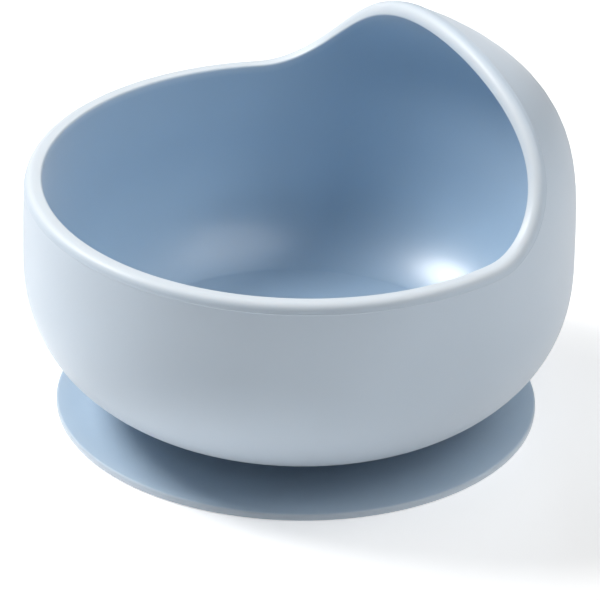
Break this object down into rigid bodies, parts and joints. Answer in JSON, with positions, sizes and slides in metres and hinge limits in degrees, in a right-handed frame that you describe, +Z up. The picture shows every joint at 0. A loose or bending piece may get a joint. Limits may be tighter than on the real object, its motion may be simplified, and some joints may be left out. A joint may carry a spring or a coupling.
{
  "type": "suction bowl",
  "caption": "Round toddler feeding bowl with a low level rim, a rounded hood at the back, and a wide flexible suction foot with a pull tab.",
  "frame": {"origin": "centre of the bowl's axis at the face that the suction foot rests on", "axes": "+Z up, +Y towards the hood, -Y towards the low front rim where the child sits, +X to the child's right when facing the hood"},
  "size_m": [0.13, 0.13, 0.0907],
  "materials": {
    "bowl_silicone": "satin",
    "foot_silicone": "satin"
  },
  "bodies": {
    "foot": {"suction_foot": "foot_silicone"},
    "bowl": {"bowl_shell": "bowl_silicone", "foot_stud": "foot_silicone"},
    "tab": {"pull_tab": "foot_silicone"}
  },
  "joints": [
    {"name": "press_down", "type": "slide", "parent": "foot", "child": "bowl", "axis": [0, 0, 1], "range_m": [-0.0024, 0], "stiffness_N_per_m": 6000, "deforming": ["suction_foot"]},
    {"name": "tab_lift", "type": "hinge", "parent": "foot", "child": "tab", "pos_m": [0, 0.0575, 0.0018], "axis": [1, 0, 0], "range_deg": [0, 60], "stiffness_Nm_per_rad": 0.02}
  ]
}
